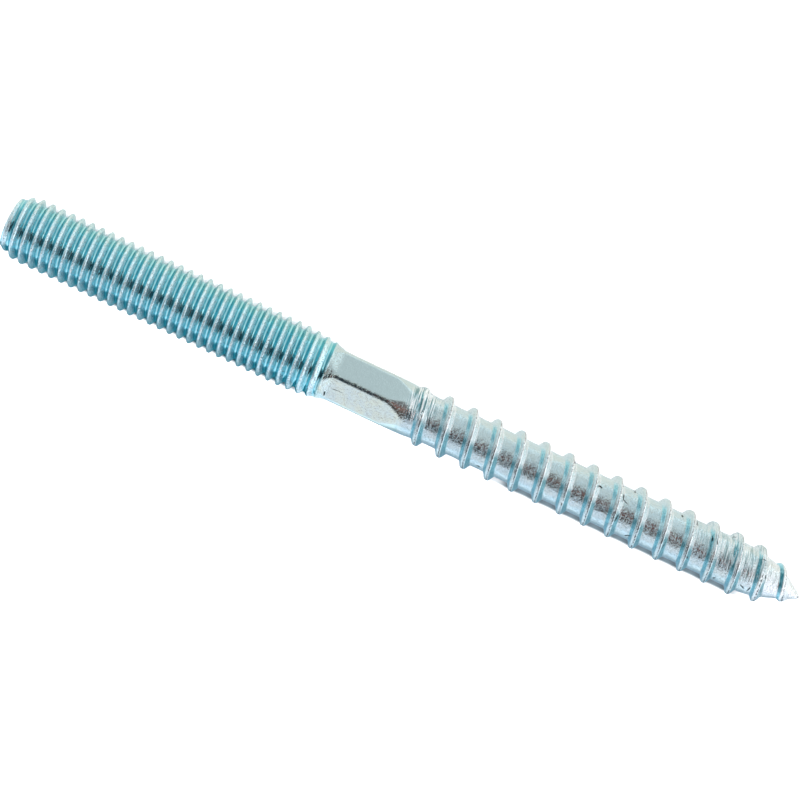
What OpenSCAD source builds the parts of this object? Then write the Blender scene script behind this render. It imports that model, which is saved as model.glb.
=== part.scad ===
// Hanger bolt: a metric thread for a nut at one end, a wood thread with a gimlet point at the other,
// and six pressed flats between them to turn it by. One piece of zinc plated steel.
// It lies along +X with the centre of its metric end at the origin, and +Z is up.

/* [Metric thread] */
// Outside diameter over the crests, a little under the nominal 8 mm
metric_d = 7.85; // [7.5:0.05:8.3]
// Diameter at the roots
metric_root_d = 6.47; // [6:0.01:6.9]
// Distance from one crest to the next
metric_pitch = 1.25; // [1:0.05:1.75]
// Width of the flat on each crest
metric_crest_w = 0.2; // [0.1:0.05:0.3]
// Width of the bottom of each groove
metric_root_w = 0.25; // [0.1:0.05:0.35]
// Length from the end face to the shoulder
metric_len = 40; // [15:1:80]
// Diameter of the end face
end_face_d = 5.9; // [5:0.1:6.4]
// Length over which the crests rise from the end face
lead_len = 2.6; // [1:0.1:5]
// Length over which the crests fade towards the shoulder
metric_fade_len = 4; // [1:0.5:8]
// Turn of the crest where it meets the end face
metric_turn = 46; // [0:1:359]

/* [Grip] */
// Diameter of the rod at the corners of the grip
grip_d = 6.7; // [6.5:0.05:7.2]
// Distance across two opposite pressed flats
flats_w = 6; // [5.75:0.05:6.4]
// Length of the shoulder, where the flats run down from the round rod
shoulder_len = 1.1; // [0.5:0.1:4]
// Length of the full flats
flats_len = 6.8; // [2:0.1:20]
// Length over which the grip tapers to the neck
taper_len = 2.1; // [1:0.1:6]

/* [Wood thread] */
// Diameter of the round neck behind the wood thread
neck_d = 5.95; // [5.7:0.05:6.4]
// Outside diameter over the ridge
wood_d = 7; // [6.6:0.1:8]
// Diameter of the core between the turns of the ridge
wood_core_d = 5.5; // [4.2:0.1:5.9]
// Distance from one turn of the ridge to the next
wood_pitch = 3.05; // [2.4:0.01:4.5]
// Width of the ridge at its foot
ridge_foot_w = 1.4; // [0.9:0.1:1.9]
// Width of the land on top of the ridge
ridge_land_w = 0.35; // [0.1:0.05:0.6]
// Length from the neck to the tip of the point
wood_len = 50; // [20:1:120]
// Length over which the ridge rises out of the neck
rise_len = 4; // [1:0.5:6]
// Length from the neck to where the core starts to draw in
core_start_len = 0.9; // [0:0.1:3]
// Length over which the core draws in
core_run_len = 1.6; // [0.5:0.1:4]
// Turn of the ridge where it starts at the neck
wood_turn = 224; // [0:1:359]

/* [Point] */
// Length of the gimlet point
point_len = 8; // [4:0.5:14]
// Diameter of the blunt tip
tip_d = 0.3; // [0.2:0.1:1]

/* [Hidden] */

COLUMNS = 24;                    // points round one turn, four to each flat
FLATS = 6;
SNAP = 0.02;                     // a row this near to the end of its thread, in turns, joins the end ring
TAPER_STEPS = 3;

shoulder_x = metric_len;
flats_x = shoulder_x + shoulder_len;
taper_x = flats_x + flats_len;
neck_x = taper_x + taper_len;
tip_x = neck_x + wood_len;
point_x = tip_x - point_len;

// Rows of one turn, in turns from the middle of a crest: both edges of the crest, both edges of the groove.
METRIC_ROWS = [
    -metric_crest_w / 2 / metric_pitch,
    metric_crest_w / 2 / metric_pitch,
    0.5 - metric_root_w / 2 / metric_pitch,
    0.5 + metric_root_w / 2 / metric_pitch
];
WOOD_ROWS = [
    -ridge_land_w / 2 / wood_pitch,
    ridge_land_w / 2 / wood_pitch,
    ridge_foot_w / 2 / wood_pitch,
    1 - ridge_foot_w / 2 / wood_pitch
];
ROWS = 4;
CREST_ROWS = 2;                  // the first two rows lie on the crest

function unit(v) = min(max(v, 0), 1);
function blend(from, to, share) = from + (to - from) * share;
function turn_of(i) = (i + 0.5) / COLUMNS;
function wrap(v, n) = v - n * floor(v / n);

// Radius over the crests and at the roots of the metric thread. The crests rise from the chamfered end
// in a round shoulder, and sink into the rod again where the rolling dies ran out.
function lead(x) = 1 - pow(1 - unit(x / lead_len), 2);
function root_lead(x) = unit(2 * x / lead_len);
function metric_fade(x) = sqrt(unit((metric_len - x) / metric_fade_len));
function metric_crest(x) = blend(grip_d, blend(end_face_d, metric_d, lead(x)), metric_fade(x)) / 2;
function metric_root(x) = blend(grip_d, blend(end_face_d, metric_root_d, root_lead(x)), metric_fade(x)) / 2;

// The gimlet point is a tangent arc: a diameter d runs down to tip_d over the length of the point.
function arc_r(drop) = (point_len * point_len + drop * drop) / (2 * drop);
function arc_fall(drop, x) = arc_r(drop) - sqrt(pow(arc_r(drop), 2) - pow(x - point_x, 2));
function pointed(d, x) = x <= point_x ? d / 2
    : d / 2 - arc_fall((d - tip_d) / 2, min(x, tip_x));

// Radius over the ridge and at the core of the wood thread
function rise(x) = 1 - pow(1 - unit((x - neck_x) / rise_len), 2);
function draw_in(x) = unit((x - neck_x - core_start_len) / core_run_len);
function wood_crest(x) = pointed(blend(neck_d, wood_d, rise(x)), x);
function wood_core(x) = pointed(blend(neck_d, wood_core_d, draw_in(x)), x);

// Radius of the grip: the round rod, cut by six flats that are pressed in behind the shoulder
function rod_r(x) = blend(grip_d, neck_d, unit((x - taper_x) / taper_len)) / 2;
function flat_r(x) = blend(grip_d, flats_w, unit((x - shoulder_x) / shoulder_len)) / 2;
function from_flat(angle) = wrap(angle + 180 / FLATS, 360 / FLATS) - 180 / FLATS;
function grip_r(x, angle) = min(rod_r(x), flat_r(x) / cos(from_flat(angle)));

// A thread is a grid of rows that climb one pitch a turn. Past either end a row stays on the end ring.
// Row n of column i lies at this place along the bolt.
function row_x(n, i, rows, pitch, first_x) =
    first_x + pitch * (floor(n / ROWS) + rows[wrap(n, ROWS)] + turn_of(i));
function thread_point(n, i, thread) = [
    row_x(n, i, thread[0], thread[1], thread[2]),
    wrap(n, ROWS) < CREST_ROWS
];
function row_count(from, to, pitch) = ROWS * (ceil((to - from) / pitch) + 3);

// Each thread: its rows, its pitch, where its first row starts, and the places of its two end rings
METRIC = [METRIC_ROWS, metric_pitch, -metric_pitch * (metric_turn / 360 + 1), 0, metric_len];
WOOD = [WOOD_ROWS, wood_pitch, neck_x - wood_pitch * (wood_turn / 360 + 1), neck_x, tip_x];
METRIC_COUNT = row_count(0, metric_len, metric_pitch);
WOOD_COUNT = row_count(neck_x, tip_x, wood_pitch);

// Rings across the bolt, from the end face to the tip
RING_X = [
    0,
    shoulder_x,
    flats_x,
    taper_x,
    for (k = [1 : TAPER_STEPS]) taper_x + taper_len * k / TAPER_STEPS,
    tip_x
];
RINGS = len(RING_X);
SHOULDER_RING = 1;
NECK_RING = RINGS - 2;
TIP_RING = RINGS - 1;

METRIC_BASE = RINGS * COLUMNS;
WOOD_BASE = METRIC_BASE + METRIC_COUNT * COLUMNS;

function ring_r(k, angle) = k == 0 ? end_face_d / 2
    : k == TIP_RING ? tip_d / 2
    : grip_r(RING_X[k], angle);

// A point of the bolt at x, at radius r, seen from column i
function place(x, r, i) = [x, r * cos(360 * turn_of(i)), r * sin(360 * turn_of(i))];

RING_POINTS = [
    for (k = [0 : RINGS - 1], i = [0 : COLUMNS - 1])
        place(RING_X[k], ring_r(k, 360 * turn_of(i)), i)
];
METRIC_POINTS = [
    for (n = [0 : METRIC_COUNT - 1], i = [0 : COLUMNS - 1])
        let (p = thread_point(n, i, METRIC))
        place(p[0], p[1] ? metric_crest(p[0]) : metric_root(p[0]), i)
];
WOOD_POINTS = [
    for (n = [0 : WOOD_COUNT - 1], i = [0 : COLUMNS - 1])
        let (p = thread_point(n, i, WOOD))
        place(p[0], p[1] ? wood_crest(p[0]) : wood_core(p[0]), i)
];

// Number of the point in row n and column i. Column COLUMNS is column 0 one turn further on, and a row
// that has passed an end of its thread gives the point of that end's ring.
function grid_point(n, i, thread, base, low_ring, high_ring) =
    i == COLUMNS ? grid_point(n + ROWS, 0, thread, base, low_ring, high_ring)
    : let (x = row_x(n, i, thread[0], thread[1], thread[2]), near = SNAP * thread[1])
    x < thread[3] + near ? low_ring * COLUMNS + i
    : x > thread[4] - near ? high_ring * COLUMNS + i
    : base + n * COLUMNS + i;

// A four-sided patch as triangles, without those that have shrunk to a line
function patch(a, b, c, d) = [
    if (a != d && d != c && a != c) [a, d, c],
    if (a != c && c != b && a != b) [a, c, b]
];
function thread_faces(thread, count, base, low_ring, high_ring) = [
    for (n = [-ROWS : count - 1], i = [0 : COLUMNS - 1])
        each patch(
            grid_point(n, i, thread, base, low_ring, high_ring),
            grid_point(n, i + 1, thread, base, low_ring, high_ring),
            grid_point(n + 1, i + 1, thread, base, low_ring, high_ring),
            grid_point(n + 1, i, thread, base, low_ring, high_ring))
];
function ring_faces(low_ring, high_ring) = [
    for (k = [low_ring : high_ring - 1], i = [0 : COLUMNS - 1])
        let (j = (i + 1) % COLUMNS)
        each patch(k * COLUMNS + i, k * COLUMNS + j, (k + 1) * COLUMNS + j, (k + 1) * COLUMNS + i)
];
END_FACE = [for (i = [0 : COLUMNS - 1]) i];
TIP_FACE = [for (i = [COLUMNS - 1 : -1 : 0]) TIP_RING * COLUMNS + i];

module hanger_bolt() {
    color([0.74, 0.83, 0.86])
        polyhedron(
            points = concat(RING_POINTS, METRIC_POINTS, WOOD_POINTS),
            faces = concat(
                [END_FACE],
                thread_faces(METRIC, METRIC_COUNT, METRIC_BASE, 0, SHOULDER_RING),
                ring_faces(SHOULDER_RING, NECK_RING),
                thread_faces(WOOD, WOOD_COUNT, WOOD_BASE, NECK_RING, TIP_RING),
                [TIP_FACE]),
            convexity = 10);
}

hanger_bolt();
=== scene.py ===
"""Looks of a hanger bolt: metric thread, pressed grip, wood thread and gimlet point, in zinc plated steel.

It lies along +X on a pale floor, with the metric end at the origin and an edge of its grip on top. The low
side is the one towards -Y, and the high side is the one towards +Y.
"""

import math

import bpy
import numpy as np
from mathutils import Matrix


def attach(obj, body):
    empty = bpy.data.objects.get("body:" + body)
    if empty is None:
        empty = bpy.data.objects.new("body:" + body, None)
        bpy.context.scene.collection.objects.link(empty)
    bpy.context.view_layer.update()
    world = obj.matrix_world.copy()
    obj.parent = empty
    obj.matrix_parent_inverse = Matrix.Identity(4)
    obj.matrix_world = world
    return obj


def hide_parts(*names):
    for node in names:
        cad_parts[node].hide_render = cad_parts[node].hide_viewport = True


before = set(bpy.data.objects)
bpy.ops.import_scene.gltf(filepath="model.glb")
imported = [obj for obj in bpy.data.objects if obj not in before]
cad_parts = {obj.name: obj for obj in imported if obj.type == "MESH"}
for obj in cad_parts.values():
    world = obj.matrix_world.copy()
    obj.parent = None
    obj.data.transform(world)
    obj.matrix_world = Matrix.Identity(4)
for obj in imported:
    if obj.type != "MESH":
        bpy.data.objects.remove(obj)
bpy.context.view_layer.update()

# ---------------------------------------------------------------- the metric thread
# The end that takes a nut: an M8 thread rolled on the rod. Rolling leaves round roots, and crests that
# rise from a round lead at the end face and sink into the rod where the dies ran out.

MM = 0.001
TURN = 2 * math.pi
COLUMNS = 96                     # points round one turn, a multiple of the six flats
SET_BACK = 3                     # turns that a thread starts before its first crest, to cover its start
SPARE_TURNS = 6                  # and turns more than its length holds, to cover its end
ROUNDING = 0.6                   # share of the corner rounding in the form of a flank
WELD = 0.002 * MM                # what lies this near is one point

METRIC_R = 3.925 * MM
METRIC_ROOT_R = 3.235 * MM
METRIC_PITCH = 1.25 * MM
METRIC_CREST_W = 0.2 * MM        # land on each crest
METRIC_GROOVE_W = 0.25 * MM      # bottom of each groove
METRIC_STEPS = 14                # points along one pitch
METRIC_LEN = 40 * MM
METRIC_FIRST = 1.09 * MM         # place of the first crest on the +Y side
END_R = 2.95 * MM
LEAD_LEN = 2.6 * MM
FADE_LEN = 4 * MM
GRIP_R = 3.35 * MM               # the rod where the thread ends, and the edges of the grip


def unit(v):
    return np.clip(v, 0, 1)


def blend(low, high, share):
    return low + (high - low) * share


def flank(share):
    """Height of a flank from its foot, 0, to the land, 1, with both corners rounded."""
    share = unit(share)
    return blend(share, share * share * (3 - 2 * share), ROUNDING)


def edit(piece):
    """Opens one piece alone in edit mode, with all of it selected."""
    bpy.ops.object.select_all(action="DESELECT")
    piece.select_set(True)
    bpy.context.view_layer.objects.active = piece
    bpy.ops.object.mode_set(mode="EDIT")
    bpy.ops.mesh.select_all(action="SELECT")


def open_profile(name, points):
    """Extrudes one vertex from point to point into an open profile in the XY plane."""
    bpy.ops.object.select_all(action="DESELECT")
    bpy.ops.mesh.primitive_plane_add(size=MM)
    piece = bpy.context.object
    piece.name = name
    edit(piece)
    bpy.ops.mesh.merge(type="CENTER")
    bpy.ops.transform.translate(value=(*points[0], 0))
    for (x0, y0), (x1, y1) in zip(points, points[1:]):
        bpy.ops.mesh.extrude_region_move(TRANSFORM_OT_translate={"value": (x1 - x0, y1 - y0, 0)})
    bpy.ops.object.mode_set(mode="OBJECT")
    return piece


def roll_thread(piece, pitch, turns):
    """Turns a profile of one pitch into a right-hand thread about the X axis."""
    screw = piece.modifiers.new("Roll", "SCREW")
    screw.axis = "X"
    screw.angle = TURN
    screw.screw_offset = pitch
    screw.iterations = turns
    screw.steps = screw.render_steps = COLUMNS
    bpy.ops.object.modifier_apply(modifier=screw.name)


def points_of(piece):
    """Place along the bolt, angle from +Y towards +Z, and radius of each vertex."""
    co = np.empty(len(piece.data.vertices) * 3)
    piece.data.vertices.foreach_get("co", co)
    x, y, z = co.reshape(-1, 3).T
    return x, np.arctan2(z, y), np.hypot(y, z)


def put_points(piece, x, angle, r):
    co = np.stack([x, r * np.cos(angle), r * np.sin(angle)], axis=1)
    piece.data.vertices.foreach_set("co", co.ravel())
    piece.data.update()


def weld(piece):
    """Merges what lies in one place, which drops the faces that have shrunk to a line."""
    edit(piece)
    bpy.ops.mesh.remove_doubles(threshold=WELD)
    bpy.ops.object.mode_set(mode="OBJECT")


def trim(piece, low, high, limits, root_r, crest_r):
    """Cuts a thread square at both ends, and fits its crests and roots between their limits."""
    x, angle, r = points_of(piece)
    x = np.clip(x, low, high)
    crest, root = limits(x)
    put_points(piece, x, angle, blend(root, crest, (r - root_r) / (crest_r - root_r)))
    weld(piece)


def metric_limits(x):
    """Radius over the crests and at the roots."""
    lead = 1 - (1 - unit(x / LEAD_LEN)) ** 2
    root_lead = unit(2 * x / LEAD_LEN)
    fade = np.sqrt(unit((METRIC_LEN - x) / FADE_LEN))
    crest = blend(GRIP_R, blend(END_R, METRIC_R, lead), fade)
    root = blend(GRIP_R, blend(END_R, METRIC_ROOT_R, root_lead), fade)
    return crest, root


def profile(first, pitch, root_r, crest_r, places, heights):
    """One pitch of a thread, far enough back for the thread to cover its start."""
    return [(first + p - SET_BACK * pitch, blend(root_r, crest_r, h)) for p, h in zip(places, heights)]


metric_run = (METRIC_PITCH - METRIC_CREST_W - METRIC_GROOVE_W) / 2
metric_places = np.linspace(-0.5, 0.5, METRIC_STEPS + 1) * METRIC_PITCH
metric_heights = flank((METRIC_PITCH / 2 - METRIC_GROOVE_W / 2 - np.abs(metric_places)) / metric_run)
metric = open_profile("metric_thread", profile(
    METRIC_FIRST, METRIC_PITCH, METRIC_ROOT_R, METRIC_R, metric_places, metric_heights))
roll_thread(metric, METRIC_PITCH, math.ceil(METRIC_LEN / METRIC_PITCH) + SPARE_TURNS)
trim(metric, 0, METRIC_LEN, metric_limits, METRIC_ROOT_R, METRIC_R)

# ---------------------------------------------------------------- the grip
# Six flats pressed into the plain rod, to turn the bolt by. They run down from a short shoulder, and fade
# where the rod tapers to the round neck of the wood thread.

FLATS = 6
FLATS_R = 3 * MM                 # half the width across two flats
NECK_R = 2.975 * MM
SHOULDER_LEN = 1.1 * MM
FLATS_LEN = 6.8 * MM
TAPER_LEN = 2.1 * MM
FLATS_X = METRIC_LEN + SHOULDER_LEN
TAPER_X = FLATS_X + FLATS_LEN
NECK_X = TAPER_X + TAPER_LEN
GRIP_STEPS = 50


def grip_r(x, angle):
    from_flat = (angle + math.pi / FLATS) % (TURN / FLATS) - math.pi / FLATS
    rod = blend(GRIP_R, NECK_R, unit((x - TAPER_X) / TAPER_LEN))
    flats = blend(GRIP_R, FLATS_R, unit((x - METRIC_LEN) / SHOULDER_LEN))
    return np.minimum(rod, flats / np.cos(from_flat))


bpy.ops.object.select_all(action="DESELECT")
bpy.ops.mesh.primitive_circle_add(
    vertices=COLUMNS, radius=GRIP_R, location=(METRIC_LEN, 0, 0), rotation=(0, math.pi / 2, 0))
grip = bpy.context.object
grip.name = "grip"
bpy.ops.object.transform_apply()
edit(grip)
for _ in range(GRIP_STEPS):
    bpy.ops.mesh.extrude_region_move(
        TRANSFORM_OT_translate={"value": ((NECK_X - METRIC_LEN) / GRIP_STEPS, 0, 0)})
bpy.ops.object.mode_set(mode="OBJECT")
x, angle, r = points_of(grip)
put_points(grip, x, angle, grip_r(x, angle))

# ---------------------------------------------------------------- the wood thread
# A coarse ridge rolled up out of the rod, with the thin core between its turns, down to a gimlet point
# on which both the core and the ridge draw in along one arc.

WOOD_R = 3.5 * MM
WOOD_CORE_R = 2.75 * MM
WOOD_PITCH = 3.05 * MM
RIDGE_FOOT_W = 1.4 * MM
RIDGE_LAND_W = 0.35 * MM
WOOD_LEN = 50 * MM
WOOD_FIRST = 54.2 * MM           # place of a crest on the +Y side
RISE_LEN = 4 * MM
DROP_FROM = NECK_X + 0.9 * MM    # where the core draws in from the neck
DROP_TO = NECK_X + 2.5 * MM
POINT_LEN = 8 * MM
TIP_R = 0.15 * MM
RIDGE_STEPS = 20                 # points across the ridge
CORE_STEPS = 8                   # points along the core to the next turn
TIP_X = NECK_X + WOOD_LEN
POINT_X = TIP_X - POINT_LEN


def pointed(r, x):
    """A radius that runs down to the tip along a tangent arc."""
    drop = r - TIP_R
    arc = (POINT_LEN ** 2 + drop ** 2) / (2 * drop)
    return r - arc + np.sqrt(arc ** 2 - np.clip(x - POINT_X, 0, POINT_LEN) ** 2)


def wood_limits(x):
    """Radius over the ridge and at the core."""
    rise = 1 - (1 - unit((x - NECK_X) / RISE_LEN)) ** 2
    drop = unit((x - DROP_FROM) / (DROP_TO - DROP_FROM))
    return pointed(blend(NECK_R, WOOD_R, rise), x), pointed(blend(NECK_R, WOOD_CORE_R, drop), x)


ridge_places = np.linspace(-0.5, 0.5, RIDGE_STEPS + 1) * RIDGE_FOOT_W
core_places = np.linspace(RIDGE_FOOT_W / 2, WOOD_PITCH - RIDGE_FOOT_W / 2, CORE_STEPS + 1)[1:]
wood_places = np.concatenate([ridge_places, core_places])
wood_heights = flank((RIDGE_FOOT_W / 2 - np.abs(wood_places)) / (RIDGE_FOOT_W - RIDGE_LAND_W) * 2)
wood = open_profile("wood_thread", profile(
    WOOD_FIRST, WOOD_PITCH, WOOD_CORE_R, WOOD_R, wood_places, wood_heights))
roll_thread(wood, WOOD_PITCH, math.ceil(WOOD_LEN / WOOD_PITCH) + SPARE_TURNS)
trim(wood, NECK_X, TIP_X, wood_limits, WOOD_CORE_R, WOOD_R)

# The very end of the point is knocked a little to one side.
BENT_LEN = 3.6 * MM
BENT_BY = 0.36 * MM
for v in wood.data.vertices:
    v.co.y -= BENT_BY * unit((v.co.x - TIP_X) / BENT_LEN + 1) ** 2

# ---------------------------------------------------------------- the whole bolt
bpy.ops.object.select_all(action="DESELECT")
for part in (metric, grip, wood):
    part.select_set(True)
bpy.context.view_layer.objects.active = metric
bpy.ops.object.join()
bolt = metric
bolt.name = "hanger_bolt_plated"
weld(bolt)
edit(bolt)
for end_x in (0, TIP_X):
    bpy.ops.mesh.select_all(action="DESELECT")
    bpy.ops.object.mode_set(mode="OBJECT")
    for v in bolt.data.vertices:
        v.select = abs(v.co.x - end_x) < WELD / 2
    bpy.ops.object.mode_set(mode="EDIT")
    bpy.ops.mesh.edge_face_add()
bpy.ops.mesh.select_all(action="SELECT")
bpy.ops.mesh.normals_make_consistent(inside=False)
bpy.ops.object.mode_set(mode="OBJECT")
bpy.ops.object.shade_smooth_by_angle(angle=math.radians(40))

# Zinc plating over rolled steel, bright and blue passivated: a metal that mirrors the room softly. It is
# silvery and grainy where the dies burnished it, and blue-green where the passivation lies thick, on the
# flanks and in the grooves. The dies leave fine lines of flow along the threads, and a seam on the ridge.

# Painted highlights, painted shade and painted dark reflections lie over the film, where the masks below put
# them
ZINC = "#CEE2E6"
ZINC_WARM = "#D3E2E1"            # a thinner film
ZINC_GRIP_SHADED = "#CBDDDD"            # on the pressed flats of the high side, a painted shade that darkens them
ZINC_GRIP_LOW_LIT = "#D6EAE9"         # and of the low side, a painted light that brightens them, and patchy
ZINC_PATCH = "#DDEBDF"
ZINC_POINT_LIT = "#F0F4F3"            # lighter zinc at the point, a painted light
LAND_BLUE = "#D8F4FA"            # the dull bloom of a burnished crest
LAND_WARM = "#E4F1F1"
LAND_SPECK = "#74989F"
FLANK_BLUE = "#5EC0CE"           # thick passivation
# a painted highlight: the bright line along each root
GROOVE_GLINT_BLUE = "#B4ECF3"
RIDGE_BLUE = "#A6E0EC"
RIDGE_DARK_REFLECTION = "#2E8A98"           # a painted dark reflection on the machine flank
TIP_BLUE = "#90C2C8"
RIDGE_GLINT = "#D6F6FC"          # a painted highlight, where the machine flank throws the light back
# a painted highlight, on the tip flank and on the crests of the folds
RIDGE_HIGHLIGHT_WHITE = "#F8FCFC"
SEAM_DARK = "#3E4446"
# a painted shade in the troughs of the folds
FOLD_SHADE = "#5E8E92"
HIGH_RIM_SHADE = "#F0F5F0"            # a painted shade, a little darker and greener far out on the high side
NICK_DARK = "#26373A"             # the dark of a nick
GRAIN = 0.14 * MM                # size of the zinc's crystals, drawn coarse enough to show
GRAIN_HEIGHT = 0.025 * MM
MOTTLE = 0.4 * MM                # size of the dents that the rolled metal keeps
MOTTLE_HEIGHT = 0.06 * MM
FILM = 1.6 * MM                  # size of the patches of thicker film
LINE_W = 0.13 * MM               # spacing of the flow lines
LINE_LEN = 2 * MM
LINE_SLANT = math.radians(8)
LINE_HEIGHT = 0.03 * MM
TURNS_FROM = TIP_X - 16 * MM     # the last turns, where a painted dark reflection replaces the glint
TURNS_TO = TIP_X - 11 * MM
RAGGED = 0.2 * MM                # how far the edge of a nick strays
RAGGED_GRAIN = 0.25 * MM
NICK_Z = 2.3 * MM                # the top of the bolt, which the nicks are in
NICK_DEPTH = 3 * MM


def linear(colour):
    """An sRGB hex colour as linear RGBA."""
    parts = [int(colour[i:i + 2], 16) / 255 for i in (1, 3, 5)]
    return *(c / 12.92 if c <= 0.04045 else ((c + 0.055) / 1.055) ** 2.4 for c in parts), 1


def add_node(tree, kind, values=(), stops=(), **settings):
    """Adds a node. A value is a number or colour for a socket, or another node's output to link to it, and
    the stops are those of a ramp, each a place and a level from 0 to 1."""
    node = tree.nodes.new(kind)
    for key, value in settings.items():
        setattr(node, key, value)
    if stops:
        elements = node.color_ramp.elements
        elements.remove(elements[-1])
        elements[0].position = stops[0][0]
        for number, (position, level) in enumerate(stops):
            stop = elements.new(position) if number else elements[0]
            stop.color = (level, level, level, 1)
    for socket, value in dict(values).items():
        if isinstance(value, bpy.types.NodeSocket):
            tree.links.new(value, node.inputs[socket])
        else:
            node.inputs[socket].default_value = value
    return node


def new_material(name):
    material = bpy.data.materials.new(name)
    material.use_nodes = True
    material.node_tree.nodes.clear()
    return material, material.node_tree


def place_on(tree):
    """A place on the piece, whole and as its X, Y and Z."""
    place = add_node(tree, "ShaderNodeTexCoord").outputs["Object"]
    return place, add_node(tree, "ShaderNodeSeparateXYZ", {0: place}).outputs


zinc, tree = new_material("zinc_plate_blue_passivated")
place, axes = place_on(tree)
angle = add_node(tree, "ShaderNodeMath", {0: axes[2], 1: axes[1]}, operation="ARCTAN2").outputs[0]


def across_thread(first, pitch):
    """Place across a thread, from 0 on a crest to 1 on the next."""
    along = add_node(tree, "ShaderNodeMath", {
        0: axes[0], 1: 1 / pitch, 2: -first / pitch}, operation="MULTIPLY_ADD").outputs[0]
    turned = add_node(tree, "ShaderNodeMath", {
        0: angle, 1: -1 / TURN, 2: along}, operation="MULTIPLY_ADD").outputs[0]
    return add_node(tree, "ShaderNodeMath", {0: turned}, operation="FRACT").outputs[0]


metric_across = across_thread(METRIC_FIRST, METRIC_PITCH)
wood_across = across_thread(WOOD_FIRST, WOOD_PITCH)
before_grip = add_node(tree, "ShaderNodeMapRange", {
    "Value": axes[0], "From Min": METRIC_LEN + 0.1 * MM, "From Max": METRIC_LEN - 0.3 * MM}).outputs[0]
past_end_face = add_node(tree, "ShaderNodeMapRange", {
    "Value": axes[0], "From Min": 0.01 * MM, "From Max": 0.06 * MM}).outputs[0]
on_metric = add_node(tree, "ShaderNodeMath", {
    0: before_grip, 1: past_end_face}, operation="MULTIPLY").outputs[0]
on_wood = add_node(tree, "ShaderNodeMapRange", {
    "Value": axes[0], "From Min": NECK_X - 0.4 * MM, "From Max": NECK_X + 0.8 * MM}).outputs[0]

grain = add_node(tree, "ShaderNodeTexNoise", {
    "Vector": place, "Scale": 1 / GRAIN, "Detail": 2.0, "Roughness": 0.6}).outputs[0]
mottle = add_node(tree, "ShaderNodeTexNoise", {
    "Vector": place, "Scale": 1 / MOTTLE, "Detail": 3.0, "Roughness": 0.65}).outputs[0]
film = add_node(tree, "ShaderNodeTexNoise", {
    "Vector": place, "Scale": 1 / FILM, "Detail": 3.0, "Roughness": 0.6}).outputs[0]
lined = add_node(tree, "ShaderNodeMapping", {
    "Vector": place, "Rotation": (0, 0, LINE_SLANT), "Scale": (LINE_W, LINE_LEN, LINE_LEN)},
    vector_type="TEXTURE").outputs[0]
lines = add_node(tree, "ShaderNodeTexNoise", {
    "Vector": lined, "Scale": 1.0, "Detail": 1.0}).outputs[0]

# The film of zinc, with a painted light that makes it lighter towards the point
zinc_film = add_node(tree, "ShaderNodeMapRange", {
    "Value": film, "From Min": 0.4, "From Max": 0.65}).outputs[0]
film_colour = add_node(tree, "ShaderNodeMix", {
    0: zinc_film, 6: linear(ZINC), 7: linear(ZINC_WARM)}, data_type="RGBA").outputs[2]
patchy = add_node(tree, "ShaderNodeMix", {
    0: zinc_film, 6: linear(ZINC_GRIP_LOW_LIT), 7: linear(ZINC_PATCH)}, data_type="RGBA").outputs[2]
# The grip: painted shade darkens the high side's flats, and painted light brightens the low side's
grip_lit_side = add_node(tree, "ShaderNodeMapRange", {
    "Value": axes[1], "From Min": 0.3 * MM, "From Max": -0.3 * MM}).outputs[0]
grip_colour_and_shade = add_node(tree, "ShaderNodeMix", {
    0: grip_lit_side, 6: linear(ZINC_GRIP_SHADED), 7: patchy}, data_type="RGBA").outputs[2]
rod_colour = add_node(tree, "ShaderNodeMix", {
    0: on_wood, 6: grip_colour_and_shade, 7: film_colour}, data_type="RGBA").outputs[2]
point_lit = add_node(tree, "ShaderNodeMapRange", {
    "Value": axes[0], "From Min": POINT_X + 1 * MM, "From Max": POINT_X + 4 * MM}).outputs[0]
zinc_colour = add_node(tree, "ShaderNodeMix", {
    0: point_lit, 6: rod_colour, 7: linear(ZINC_POINT_LIT)}, data_type="RGBA").outputs[2]

# The metric thread: silvery specked lands, whose silver runs on down the flank on the side of the point as a
# painted light, blue flanks, and a painted highlight as a bright line along each root. A place across it
# runs from 0 on a crest to 1 on the next.
metric_land_and_lit_flank = add_node(tree, "ShaderNodeValToRGB", {0: metric_across}, [
    (0.0, 1), (0.26, 1), (0.36, 0.6), (0.43, 0), (0.83, 0), (0.91, 1)]).outputs[0]
metric_root_glint = add_node(tree, "ShaderNodeValToRGB", {0: metric_across}, [
    (0.42, 0), (0.48, 1), (0.55, 1), (0.61, 0)]).outputs[0]
bloom = add_node(tree, "ShaderNodeMapRange", {
    "Value": mottle, "From Min": 0.47, "From Max": 0.62}).outputs[0]
bloom_colour = add_node(tree, "ShaderNodeMix", {
    0: bloom, 6: linear(LAND_BLUE), 7: linear(LAND_WARM)}, data_type="RGBA").outputs[2]
speck = add_node(tree, "ShaderNodeMapRange", {
    "Value": grain, "From Min": 0.54, "From Max": 0.72}).outputs[0]
land_colour = add_node(tree, "ShaderNodeMix", {
    0: speck, 6: bloom_colour, 7: linear(LAND_SPECK)}, data_type="RGBA").outputs[2]
groove_colour_and_glint = add_node(tree, "ShaderNodeMix", {
    0: metric_root_glint, 6: linear(FLANK_BLUE), 7: linear(GROOVE_GLINT_BLUE)}, data_type="RGBA").outputs[2]
rolled_colour = add_node(tree, "ShaderNodeMix", {
    0: metric_land_and_lit_flank, 6: groove_colour_and_glint, 7: land_colour}, data_type="RGBA").outputs[2]
# A painted shade over the metric thread far out on the high side
high_rim_shade = add_node(tree, "ShaderNodeMapRange", {
    "Value": axes[1], "From Min": 1.6 * MM, "From Max": 2.9 * MM}).outputs[0]
metric_colour = add_node(tree, "ShaderNodeMix", {
    0: high_rim_shade, 6: rolled_colour, 7: linear(HIGH_RIM_SHADE)}, data_type="RGBA", blend_type="MULTIPLY").outputs[2]
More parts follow.
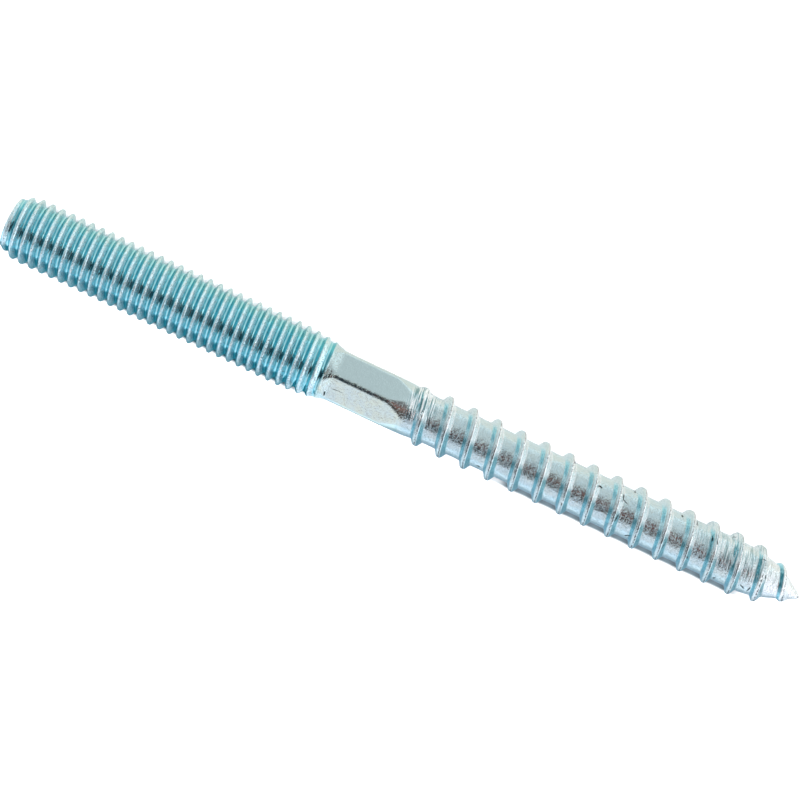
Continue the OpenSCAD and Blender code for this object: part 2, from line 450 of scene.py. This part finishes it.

# The wood thread: blue at the foot of each flank, and a dark broken seam along the land. Over that lies
# painted light: a painted highlight on the tip flank over the high half, where the tip flank is blue only
# below, a painted glint on the machine flank, painted dark reflections on the machine flank near the middle
# and over the last turns, and the machine flank's blue left off at the high edge, painted paler there. The
# machine flank faces the metric end and the tip flank the point. Each mask is a place across the ridge, and
# each side says how far round the bolt it holds.
machine_flank = add_node(tree, "ShaderNodeValToRGB", {0: wood_across}, [
    (0.77, 0), (0.8, 1), (0.88, 1), (0.92, 0)]).outputs[0]
tip_flank = add_node(tree, "ShaderNodeValToRGB", {0: wood_across}, [
    (0.07, 0), (0.1, 1), (0.2, 1), (0.24, 0)]).outputs[0]
seam_line = add_node(tree, "ShaderNodeValToRGB", {0: wood_across}, [
    (0.0, 0.5), (0.015, 1), (0.045, 1), (0.06, 0), (0.98, 0)]).outputs[0]
high_side = add_node(tree, "ShaderNodeMapRange", {
    "Value": axes[1], "From Min": 2.7 * MM, "From Max": 2.2 * MM}).outputs[0]
before_point = add_node(tree, "ShaderNodeMapRange", {
    "Value": axes[0], "From Min": TIP_X - 3 * MM, "From Max": TIP_X - 5 * MM}).outputs[0]
low_share = add_node(tree, "ShaderNodeMapRange", {
    "Value": axes[1], "From Min": 0.2 * MM, "From Max": -0.8 * MM}).outputs[0]
low_side = add_node(tree, "ShaderNodeMath", {0: low_share, 1: before_point}, operation="MULTIPLY").outputs[0]
highlight_half = add_node(tree, "ShaderNodeMapRange", {
    "Value": axes[1], "From Min": -0.7 * MM, "From Max": 0.1 * MM}).outputs[0]
tip_flank_highlight = add_node(tree, "ShaderNodeValToRGB", {0: wood_across}, [
    (0.0, 0.5), (0.06, 1), (0.22, 1), (0.28, 0), (0.93, 0)]).outputs[0]
side_share = add_node(tree, "ShaderNodeMapRange", {
    "Value": axes[1], "From Min": -WOOD_R, "From Max": WOOD_R}).outputs[0]
mid_side = add_node(tree, "ShaderNodeValToRGB", {0: side_share}, [
    (0.36, 0), (0.4, 0.25), (0.44, 0.25), (0.48, 0)]).outputs[0]
glint_side = add_node(tree, "ShaderNodeValToRGB", {0: side_share}, [
    (0.46, 0), (0.5, 0.9), (0.59, 0.9), (0.65, 0)]).outputs[0]
far_place = add_node(tree, "ShaderNodeValToRGB", {0: side_share}, [
    (0.4, 0), (0.46, 1), (0.7, 1), (0.82, 0)]).outputs[0]
far_share = add_node(tree, "ShaderNodeMapRange", {
    "Value": axes[0], "From Min": TURNS_FROM, "From Max": TURNS_TO}).outputs[0]
far_spots = add_node(tree, "ShaderNodeMapRange", {
    "Value": mottle, "From Min": 0.42, "From Max": 0.56, "To Min": 0.3}).outputs[0]
far_side = far_share
for mask in (far_spots, far_place):
    far_side = add_node(tree, "ShaderNodeMath", {0: far_side, 1: mask}, operation="MULTIPLY").outputs[0]
near_share = add_node(tree, "ShaderNodeMapRange", {
    "Value": axes[0], "From Min": TURNS_TO, "From Max": TURNS_FROM}).outputs[0]
near_glint = add_node(tree, "ShaderNodeMath", {0: glint_side, 1: near_share}, operation="MULTIPLY").outputs[0]
ridge_colour = zinc_colour
# Painted highlights and painted dark reflections go over the blue here, each by its mask and side
for mask, side, tone in (
        (machine_flank, high_side, RIDGE_BLUE), (tip_flank, low_side, TIP_BLUE),
        (tip_flank_highlight, highlight_half, RIDGE_HIGHLIGHT_WHITE), (machine_flank, near_glint, RIDGE_GLINT),
        (machine_flank, mid_side, RIDGE_DARK_REFLECTION), (machine_flank, far_side, RIDGE_DARK_REFLECTION)):
    share = add_node(tree, "ShaderNodeMath", {0: mask, 1: side}, operation="MULTIPLY").outputs[0]
    share = add_node(tree, "ShaderNodeMath", {0: share, 1: on_wood}, operation="MULTIPLY").outputs[0]
    ridge_colour = add_node(tree, "ShaderNodeMix", {
        0: share, 6: ridge_colour, 7: linear(tone)}, data_type="RGBA").outputs[2]
broken = add_node(tree, "ShaderNodeMapRange", {
    "Value": grain, "From Min": 0.46, "From Max": 0.51}).outputs[0]
seam_side = add_node(tree, "ShaderNodeMapRange", {
    "Value": axes[1], "From Min": 0.8 * MM, "From Max": -0.2 * MM, "To Min": 0.6}).outputs[0]
seam_share = seam_line
for mask in (broken, seam_side, on_wood):
    seam_share = add_node(tree, "ShaderNodeMath", {0: seam_share, 1: mask}, operation="MULTIPLY").outputs[0]
wood_colour = add_node(tree, "ShaderNodeMix", {
    0: seam_share, 6: ridge_colour, 7: linear(SEAM_DARK)}, data_type="RGBA").outputs[2]

# Slanted folds in the high side, where the wood thread starts and over its last turns, with a painted
# highlight on their crests and a painted shade between them. Their places along the bolt are shares of its
# length.
along_share = add_node(tree, "ShaderNodeMath", {0: axes[0], 1: 1 / TIP_X}, operation="MULTIPLY").outputs[0]
fold_place = add_node(tree, "ShaderNodeValToRGB", {0: along_share}, [
    (0.497, 0), (0.502, 1), (0.522, 1), (0.54, 0),
    (0.84, 0), (0.9, 0.55), (0.955, 0.55), (0.967, 0)]).outputs[0]
fold_side = add_node(tree, "ShaderNodeMapRange", {
    "Value": axes[1], "From Min": -1.4 * MM, "From Max": -0.2 * MM}).outputs[0]
folded = add_node(tree, "ShaderNodeMath", {0: fold_place, 1: fold_side}, operation="MULTIPLY").outputs[0]
fold_lines = add_node(tree, "ShaderNodeMapRange", {
    "Value": lines, "From Min": 0.47, "From Max": 0.4, "To Max": 0.85}).outputs[0]
fold_shade_share = add_node(tree, "ShaderNodeMath", {0: folded, 1: fold_lines}, operation="MULTIPLY").outputs[0]
fold_crests = add_node(tree, "ShaderNodeMapRange", {
    "Value": lines, "From Min": 0.52, "From Max": 0.6}).outputs[0]
fold_highlight_share = add_node(tree, "ShaderNodeMath", {0: folded, 1: fold_crests}, operation="MULTIPLY").outputs[0]
fold_highlight_colour = add_node(tree, "ShaderNodeMix", {
    0: fold_highlight_share, 6: wood_colour, 7: linear(RIDGE_HIGHLIGHT_WHITE)}, data_type="RGBA").outputs[2]
fold_shaded_colour = add_node(tree, "ShaderNodeMix", {
    0: fold_shade_share, 6: fold_highlight_colour, 7: linear(FOLD_SHADE)}, data_type="RGBA").outputs[2]
worked_colour = add_node(tree, "ShaderNodeMix", {
    0: on_metric, 6: fold_shaded_colour, 7: metric_colour}, data_type="RGBA").outputs[2]

# Nicks and short folds in the top of the bolt, drawn dark. Each has its place along the bolt and across it,
# its length and its width in millimetres, and its slant in degrees.
NICKS = (
    (70.1, 2.7, 0.35, 0.2, 0), (73.8, 1.45, 0.6, 0.16, -10), (76.2, 2.6, 0.3, 0.16, 0),
    (76.7, 1.5, 0.9, 0.14, -75), (77.1, 1.1, 0.6, 0.12, -25), (76.9, -1.0, 0.9, 0.22, -95),
    (77.8, 2.6, 0.3, 0.22, 40), (79.0, -2.3, 0.6, 0.14, 25), (83.1, -1.5, 1.1, 0.12, -95),
    (83.8, 2.4, 0.3, 0.2, 0), (85.7, 2.45, 0.7, 0.1, -70), (86.1, -1.6, 0.3, 0.2, 0),
    (87.8, 1.5, 0.7, 0.14, -75), (88.4, 1.4, 0.6, 0.14, -65), (89.5, 2.9, 0.6, 0.1, 60),
    (90.1, -2.4, 0.35, 0.18, 20), (90.3, 2.8, 0.4, 0.1, 30), (93.3, -1.95, 0.7, 0.14, -20),
    (94.1, -1.9, 0.7, 0.16, -95), (94.2, 1.9, 0.4, 0.1, 0), (95.1, 0.2, 0.5, 0.24, -70),
    (95.3, -1.4, 0.8, 0.1, -80), (99.9, -0.3, 0.3, 0.3, 0), (42.1, -1.5, 1.4, 0.07, 2),
    (40.9, -2.4, 0.5, 0.2, -80), (40.6, -0.3, 0.9, 0.16, -95), (60.3, -2.4, 0.5, 0.12, 0))
ragged = add_node(tree, "ShaderNodeTexNoise", {
    "Vector": place, "Scale": 1 / RAGGED_GRAIN, "Detail": 2.0}).outputs[1]
shaken = add_node(tree, "ShaderNodeVectorMath", {
    0: ragged, 1: (RAGGED,) * 3, 2: place}, operation="MULTIPLY_ADD").outputs[0]
nicked = None
for nick_x, nick_y, length, width, slant in NICKS:
    nick = add_node(tree, "ShaderNodeMapping", {
        "Vector": shaken, "Rotation": (0, 0, math.radians(slant)),
        "Location": (nick_x * MM + RAGGED / 2, nick_y * MM + RAGGED / 2, NICK_Z),
        "Scale": (length * MM / 2, width * MM / 2, NICK_DEPTH)}, vector_type="TEXTURE").outputs[0]
    far = add_node(tree, "ShaderNodeVectorMath", {0: nick}, operation="LENGTH").outputs["Value"]
    near = add_node(tree, "ShaderNodeMapRange", {"Value": far, "From Min": 1.2, "From Max": 0.7}).outputs[0]
    nicked = near if nicked is None else add_node(tree, "ShaderNodeMath", {
        0: nicked, 1: near}, operation="MAXIMUM").outputs[0]
colour = add_node(tree, "ShaderNodeMix", {
    0: nicked, 6: worked_colour, 7: linear(NICK_DARK)}, data_type="RGBA").outputs[2]

# How the plate is worked: burnished to a grain on the lands and the ridge, smooth in the grooves, and lined
metric_grain = add_node(tree, "ShaderNodeMath", {
    0: metric_land_and_lit_flank, 1: on_metric}, operation="MULTIPLY").outputs[0]
ridge = add_node(tree, "ShaderNodeValToRGB", {0: wood_across}, [
    (0.0, 1), (0.2, 1), (0.25, 0), (0.78, 0), (0.9, 0.3), (0.95, 1)]).outputs[0]
ridge_grain = add_node(tree, "ShaderNodeMath", {0: ridge, 1: on_wood}, operation="MULTIPLY").outputs[0]
burnished = add_node(tree, "ShaderNodeMath", {
    0: metric_grain, 1: ridge_grain}, operation="MAXIMUM").outputs[0]
on_shoulder = add_node(tree, "ShaderNodeMath", {
    0: axes[0], 1: METRIC_LEN + 0.5 * MM, 2: 0.7 * MM}, operation="COMPARE").outputs[0]
ends = add_node(tree, "ShaderNodeMath", {0: on_shoulder, 1: on_wood}, operation="MAXIMUM").outputs[0]
worked = add_node(tree, "ShaderNodeMath", {0: metric_grain, 1: ends}, operation="MAXIMUM").outputs[0]
on_thread = add_node(tree, "ShaderNodeMath", {
    0: on_metric, 1: on_wood}, operation="MAXIMUM").outputs[0]
least = add_node(tree, "ShaderNodeMapRange", {
    "Value": on_thread, "To Min": 0.32, "To Max": 0.1}).outputs[0]
worked_share = add_node(tree, "ShaderNodeMath", {0: worked, 1: least}, operation="MAXIMUM").outputs[0]
line_share = add_node(tree, "ShaderNodeMath", {
    0: folded, 1: 1.5, 2: on_thread}, operation="MULTIPLY_ADD").outputs[0]
line_height = add_node(tree, "ShaderNodeMath", {
    0: line_share, 1: LINE_HEIGHT}, operation="MULTIPLY").outputs[0]
roughness = add_node(tree, "ShaderNodeMapRange", {
    "Value": burnished, "To Min": 0.12, "To Max": 0.26}).outputs[0]

# Where the film lies dull, it scatters the light. On the metric thread that is on the lands and the flanks
# facing the point, on the high side, and along the low rim.
dull_flank = add_node(tree, "ShaderNodeValToRGB", {0: metric_across}, [
    (0.06, 0), (0.12, 1), (0.26, 1), (0.38, 0)]).outputs[0]
dull_flank_side = add_node(tree, "ShaderNodeMapRange", {
    "Value": axes[1], "From Min": 0.1 * MM, "From Max": 0.7 * MM}).outputs[0]
dull_flanks = add_node(tree, "ShaderNodeMath", {
    0: dull_flank, 1: dull_flank_side}, operation="MULTIPLY").outputs[0]
dull_land = add_node(tree, "ShaderNodeValToRGB", {0: metric_across}, [
    (0.0, 1), (0.08, 1), (0.14, 0), (0.93, 0), (0.97, 1)]).outputs[0]
dull_land_side = add_node(tree, "ShaderNodeMapRange", {
    "Value": axes[1], "From Min": -1.3 * MM, "From Max": -0.5 * MM}).outputs[0]
dull_rolled = add_node(tree, "ShaderNodeMath", {
    0: dull_land, 1: dull_land_side, 2: dull_flanks}, operation="MULTIPLY_ADD").outputs[0]
low_rim = add_node(tree, "ShaderNodeMapRange", {
    "Value": axes[1], "From Min": -2.8 * MM, "From Max": -3.3 * MM}).outputs[0]
dull_rim = add_node(tree, "ShaderNodeMath", {
    0: metric_land_and_lit_flank, 1: low_rim, 2: dull_rolled}, operation="MULTIPLY_ADD").outputs[0]
dull_metric = add_node(tree, "ShaderNodeMath", {0: dull_rim, 1: on_metric}, operation="MULTIPLY").outputs[0]

# On the wood thread it lies dull on both flanks of the ridge, near the middle of the bolt
dull_tip_side = add_node(tree, "ShaderNodeValToRGB", {0: side_share}, [
    (0.4, 0), (0.5, 1), (0.6, 1), (0.7, 0.1)]).outputs[0]
dull_tip_flank = add_node(tree, "ShaderNodeMath", {
    0: tip_flank_highlight, 1: dull_tip_side}, operation="MULTIPLY").outputs[0]
dull_back_side = add_node(tree, "ShaderNodeValToRGB", {0: side_share}, [
    (0.4, 0), (0.48, 1), (0.62, 1), (0.7, 0)]).outputs[0]
dull_ridge = add_node(tree, "ShaderNodeMath", {
    0: machine_flank, 1: dull_back_side, 2: dull_tip_flank}, operation="MULTIPLY_ADD").outputs[0]
dull_wood = add_node(tree, "ShaderNodeMath", {0: dull_ridge, 1: on_wood}, operation="MULTIPLY").outputs[0]

# The more the plate is dull, bruised or burnished, the less it is a mirror
dull = add_node(tree, "ShaderNodeMath", {0: dull_metric, 1: dull_wood}, operation="ADD").outputs[0]
bruised = add_node(tree, "ShaderNodeMath", {
    0: fold_highlight_share, 1: 2.5, 2: burnished}, operation="MULTIPLY_ADD").outputs[0]
tarnished = add_node(tree, "ShaderNodeMath", {
    0: dull, 1: 2.3, 2: bruised}, operation="MULTIPLY_ADD").outputs[0]
metallic = add_node(tree, "ShaderNodeMapRange", {
    "Value": tarnished, "From Max": 4.0, "To Min": 1.0, "To Max": 0.72}).outputs[0]

# The relief of the plate: pits between the crystals, lines of flow, and shallow dents
pits = add_node(tree, "ShaderNodeMapRange", {
    "Value": grain, "From Min": 0.55, "From Max": 0.68}).outputs[0]
grain_bump = add_node(tree, "ShaderNodeBump", {
    "Height": pits, "Strength": worked_share, "Distance": GRAIN_HEIGHT}).outputs[0]
line_bump = add_node(tree, "ShaderNodeBump", {
    "Height": lines, "Strength": 1.0, "Distance": line_height, "Normal": grain_bump}).outputs[0]
mottle_bump = add_node(tree, "ShaderNodeBump", {
    "Height": mottle, "Strength": worked_share, "Distance": MOTTLE_HEIGHT, "Normal": line_bump}).outputs[0]
plate = add_node(tree, "ShaderNodeBsdfPrincipled", {
    "Base Color": colour, "Metallic": metallic, "Roughness": roughness, "Normal": mottle_bump})
add_node(tree, "ShaderNodeOutputMaterial", {"Surface": plate.outputs[0]})

bolt.data.materials.clear()
bolt.data.materials.append(zinc)
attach(bolt, "root")
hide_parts("hanger_bolt")

# ---------------------------------------------------------------- the stage
# A white table top that the bolt lies on in a bright room, with a painted shadow along the bolt, dark and
# light cards over it and strips beside it for the metal to mirror, the strips a painted shadow of the bolt,
# and a lamp overhead that it doesn't mirror.

FLOOR_WHITE = "#FFFFFF"          # as the camera sees it
FLOOR_GREY = "#BBB8B1"           # as the bolt sees it, on the side of +Y
FLOOR_BLUE = "#BECBD6"           # and on the side of -Y
FLOOR_SIZE = 3.0
FLOOR_TURN = 10 * MM             # where one of these has turned to the other, to each side of the bolt
SHADE_END = 1.5 * MM             # softness of the shade's ends and of its long edges
SHADE_EDGE = 0.15 * MM

bpy.ops.object.select_all(action="DESELECT")
bpy.ops.mesh.primitive_plane_add(size=FLOOR_SIZE, location=(TIP_X / 2, 0, -METRIC_R))
floor = bpy.context.object
floor.name = "floor"
bpy.ops.object.transform_apply()

# Matt white paint, with a painted shadow on it close along the low side of each thread. Each painted
# shadow has its middle, half its size and its tone.
white, tree = new_material("white_table_top_painted_shadow")
table_place, table_axes = place_on(tree)
table_colour = linear(FLOOR_WHITE)
for (mid_x, mid_y), (half_x, half_y), tone in (
        ((19.2 * MM, -1.82 * MM), (18 * MM, 1.82 * MM), "#3C6672"),
        ((78.5 * MM, -1.68 * MM), (15.5 * MM, 1.68 * MM), "#647279")):
    from_mid = add_node(tree, "ShaderNodeVectorMath", {
        0: table_place, 1: (mid_x, mid_y, 0)}, operation="SUBTRACT").outputs[0]
    far = add_node(tree, "ShaderNodeVectorMath", {0: from_mid}, operation="ABSOLUTE").outputs[0]
    far_axes = add_node(tree, "ShaderNodeSeparateXYZ", {0: far}).outputs
    in_length = add_node(tree, "ShaderNodeMapRange", {
        "Value": far_axes[0], "From Min": half_x + SHADE_END, "From Max": half_x - SHADE_END}).outputs[0]
    in_width = add_node(tree, "ShaderNodeMapRange", {
        "Value": far_axes[1], "From Min": half_y + SHADE_EDGE, "From Max": half_y - SHADE_EDGE}).outputs[0]
    shade = add_node(tree, "ShaderNodeMath", {0: in_length, 1: in_width}, operation="MULTIPLY").outputs[0]
    table_colour = add_node(tree, "ShaderNodeMix", {
        0: shade, 6: table_colour, 7: linear(tone)}, data_type="RGBA").outputs[2]
table_side = add_node(tree, "ShaderNodeMapRange", {
    "Value": table_axes[1], "From Min": -FLOOR_TURN, "From Max": FLOOR_TURN}).outputs[0]
floor_tone = add_node(tree, "ShaderNodeMix", {
    0: table_side, 6: linear(FLOOR_BLUE), 7: linear(FLOOR_GREY)}, data_type="RGBA").outputs[2]
rays = add_node(tree, "ShaderNodeLightPath")
paint = add_node(tree, "ShaderNodeMix", {
    0: rays.outputs["Is Camera Ray"], 6: floor_tone, 7: table_colour}, data_type="RGBA")
matt = add_node(tree, "ShaderNodeBsdfDiffuse", {"Color": paint.outputs[2]})
add_node(tree, "ShaderNodeOutputMaterial", {"Surface": matt.outputs[0]})
floor.data.materials.append(white)

CARD_H = 300 * MM
CARD_FROM = (-130 * MM, -420 * MM)
CARD_TO = (230 * MM, 150 * MM)
CARD_STEP = 27 * MM                             # where it meets its arm, over the metric thread
ARM_SIDES = (-290 * MM, 30 * MM)
ARM_CUT = (-17 * MM, -6 * MM, CARD_H)           # the arm is cut slanting here, and what lies this way goes
ARM_CUT_WAY = (-0.53, 0.85, 0)
FAR_CARD_FROM = (-500 * MM, -290 * MM)
FAR_CARD_TO = (CARD_FROM[0], 45 * MM)
CARD_PETROL = "#022E38"
CARD_BROWN = "#564A49"
CARD_PALE = "#C8CACA"                           # towards its far edge
CARD_TURN = (34 * MM, 74 * MM)                  # petrol before the first place, brown after the second
CARD_WARM = "#96665F"                           # a warmer patch on the card, which the metal mirrors as a reddish tint
CARD_WARM_PLACE = (125 * MM, -50 * MM, CARD_H)
CARD_WARM_REACH = (90 * MM, 20 * MM)                 # where the patch starts, and where it is full


def lay_card(name, low, high, height):
    """Lays a card level over a place, which only the metal sees."""
    bpy.ops.object.select_all(action="DESELECT")
    bpy.ops.mesh.primitive_plane_add(
        size=1, location=((low[0] + high[0]) / 2, (low[1] + high[1]) / 2, height))
    card = bpy.context.object
    card.name = name
    card.scale = (high[0] - low[0], high[1] - low[1], 1)
    bpy.ops.object.transform_apply()
    card.visible_camera = False
    card.visible_shadow = False
    card.visible_diffuse = False
    return card


def glow(tree, colour, level=1.0):
    """Makes a material give off its colour as light, at a level where 1 is as bright as it is written."""
    emission = add_node(tree, "ShaderNodeEmission", {"Color": colour, "Strength": level})
    add_node(tree, "ShaderNodeOutputMaterial", {"Surface": emission.outputs[0]})


card = lay_card("dark_card", (CARD_STEP, CARD_FROM[1]), CARD_TO, CARD_H)
arm = lay_card("dark_card_arm", (CARD_FROM[0], ARM_SIDES[0]), (CARD_STEP, ARM_SIDES[1]), CARD_H)
edit(arm)
bpy.ops.mesh.bisect(plane_co=ARM_CUT, plane_no=ARM_CUT_WAY, clear_outer=True)
bpy.ops.object.mode_set(mode="OBJECT")
far_card = lay_card("dark_card_far", FAR_CARD_FROM, FAR_CARD_TO, CARD_H)

# Card in a dark petrol blue that turns to brown, paler towards its far edge
dark, tree = new_material("dark_card")
card_place, card_axes = place_on(tree)
card_y = add_node(tree, "ShaderNodeMapRange", {
    "Value": card_axes[1], "From Min": CARD_FROM[1], "From Max": CARD_TO[1]}).outputs[0]
dim_share = add_node(tree, "ShaderNodeValToRGB", {0: card_y}, [
    (0.0, 0), (0.74, 0), (0.89, 0.3), (1.0, 1)]).outputs[0]
card_x = add_node(tree, "ShaderNodeMapRange", {
    "Value": card_axes[0], "From Min": CARD_TURN[0], "From Max": CARD_TURN[1]}).outputs[0]
card_colour = add_node(tree, "ShaderNodeMix", {
    0: card_x, 6: linear(CARD_PETROL), 7: linear(CARD_BROWN)}, data_type="RGBA").outputs[2]
from_warm_place = add_node(tree, "ShaderNodeVectorMath", {0: card_place, 1: CARD_WARM_PLACE}, operation="DISTANCE")
warm_share = add_node(tree, "ShaderNodeMapRange", {
    "Value": from_warm_place.outputs["Value"], "From Min": CARD_WARM_REACH[0], "From Max": CARD_WARM_REACH[1]})
warm_card_colour = add_node(tree, "ShaderNodeMix", {
    0: warm_share.outputs[0], 6: card_colour, 7: linear(CARD_WARM)}, data_type="RGBA").outputs[2]
dim_colour = add_node(tree, "ShaderNodeMix", {
    0: dim_share, 6: warm_card_colour, 7: linear(CARD_PALE)}, data_type="RGBA").outputs[2]
glow(tree, dim_colour)
for piece in (card, arm, far_card):
    piece.data.materials.append(dark)

# A light card over the metric thread, above the dark one, which dims a little towards its far edge
LIGHT_TONE = "#F4FCFF"
LIGHT_FROM = (CARD_FROM[0], -90 * MM)
LIGHT_TO = (CARD_STEP, 160 * MM)
LIGHT_DIMS = 40 * MM                            # from here on
light_card = lay_card("light_card", LIGHT_FROM, LIGHT_TO, CARD_H + 4 * MM)
light, tree = new_material("light_card")
light_axes = place_on(tree)[1]
light_level = add_node(tree, "ShaderNodeMapRange", {
    "Value": light_axes[1], "From Min": LIGHT_DIMS, "From Max": LIGHT_TO[1],
    "To Min": 1.3, "To Max": 0.9}).outputs[0]
glow(tree, linear(LIGHT_TONE), light_level)
light_card.data.materials.append(light)

# Blue-grey strips on the table along the low side, one beside each thread: a painted shadow of the bolt
# on the table, which only the metal sees, and shows as a dark line. Each has two corners, the width over
# which its outer edge turns to the inner tone, and both tones.
for name, low, high, fade, outer_tone, inner_tone in (
        ("thread_shadow_strip", (-4 * MM, -34 * MM), (39 * MM, -3 * MM), 18 * MM, "#C8E4F0", "#2C8092"),
        ("core_shadow_strip", (41 * MM, -12 * MM), (150 * MM, -3 * MM), 6 * MM, "#E0ECF4", "#9DB6C8")):
    strip = lay_card(name, low, high, -METRIC_R + 0.05 * MM)
    blue, tree = new_material(name)
    strip_axes = place_on(tree)[1]
    strip_share = add_node(tree, "ShaderNodeMapRange", {
        "Value": strip_axes[1], "From Min": low[1], "From Max": low[1] + fade}).outputs[0]
    strip_colour = add_node(tree, "ShaderNodeMix", {
        0: strip_share, 6: linear(outer_tone), 7: linear(inner_tone)}, data_type="RGBA").outputs[2]
    glow(tree, strip_colour)
    strip.data.materials.append(blue)

# A lamp high over the metric thread, long along the bolt and narrow across it
LAMP_PLACE = (20 * MM, 0, 600 * MM)
LAMP_LEN = 250 * MM
LAMP_W = 40 * MM
LAMP_WATTS = 4.6
lamp_data = bpy.data.lights.new("lamp", "AREA")
lamp_data.shape = "RECTANGLE"
lamp_data.size = LAMP_LEN
lamp_data.size_y = LAMP_W
lamp_data.energy = LAMP_WATTS
lamp = bpy.data.objects.new("lamp", lamp_data)
lamp.location = LAMP_PLACE
lamp.visible_glossy = False
bpy.context.scene.collection.objects.link(lamp)

# The room. It is brighter towards +Y low down, towards -Y higher up, and towards +X all the way up. It has a
# lilac tint on the side of -Y and an aqua one on the side of +Y, and the camera sees it white.
ROOM_LILAC = "#F6F5FF"
ROOM_AQUA = "#F3FBFF"
scene = bpy.context.scene
world = bpy.data.worlds.new("studio")
scene.world = world
world.use_nodes = True
tree = world.node_tree
tree.nodes.clear()
way = add_node(tree, "ShaderNodeSeparateXYZ", {
    0: add_node(tree, "ShaderNodeTexCoord").outputs["Generated"]}).outputs
upper = add_node(tree, "ShaderNodeMapRange", {
    "Value": way[1], "From Min": -0.6, "From Max": 0.1, "To Min": 1.0, "To Max": 0.75}).outputs[0]
height = add_node(tree, "ShaderNodeMapRange", {
    "Value": way[2], "From Min": 0.05, "From Max": 0.45}, interpolation_type="SMOOTHSTEP").outputs[0]
low_level = add_node(tree, "ShaderNodeMapRange", {
    "Value": way[1], "From Min": -0.6, "From Max": 0.6, "To Min": 0.9, "To Max": 1.1}).outputs[0]
level = add_node(tree, "ShaderNodeMix", {0: height, 2: low_level, 3: upper}).outputs[0]
slant = add_node(tree, "ShaderNodeMath", {0: way[0], 1: 0.6, 2: 1.0}, operation="MULTIPLY_ADD").outputs[0]
room = add_node(tree, "ShaderNodeMath", {0: level, 1: slant}, operation="MULTIPLY").outputs[0]
rays = add_node(tree, "ShaderNodeLightPath")
strength = add_node(tree, "ShaderNodeMix", {
    0: rays.outputs["Is Camera Ray"], 2: room, 3: 1.0}).outputs[0]
tone = add_node(tree, "ShaderNodeMapRange", {"Value": way[1], "From Min": -0.8, "From Max": 0.8}).outputs[0]
tint = add_node(tree, "ShaderNodeMix", {
    0: tone, 6: linear(ROOM_LILAC), 7: linear(ROOM_AQUA)}, data_type="RGBA").outputs[2]
sky_colour = add_node(tree, "ShaderNodeMix", {
    0: rays.outputs["Is Camera Ray"], 6: tint, 7: linear(FLOOR_WHITE)}, data_type="RGBA").outputs[2]
sky = add_node(tree, "ShaderNodeBackground", {"Color": sky_colour, "Strength": strength})
add_node(tree, "ShaderNodeOutputWorld", {"Surface": sky.outputs[0]})

scene.view_settings.view_transform = "Standard"

# The camera looks straight down on the bolt, turned so that the bolt slopes down to the right.
PICTURE = 800                    # pixels along a side
SCALE = 8.7175 / MM              # pixels to the metre at the bolt's axis
CAMERA_X = 49 * MM
CAMERA_Y = 0.6 * MM
CAMERA_H = 250 * MM
SLOPE = 25.33                    # degrees
SENSOR_W = 36
camera_data = bpy.data.cameras.new("camera")
camera_data.sensor_width = SENSOR_W
camera_data.lens = SENSOR_W * SCALE * CAMERA_H / PICTURE
camera = bpy.data.objects.new("camera", camera_data)
camera.location = (CAMERA_X, CAMERA_Y, CAMERA_H)
camera.rotation_euler = (0, 0, math.radians(SLOPE))
scene.collection.objects.link(camera)
scene.camera = camera
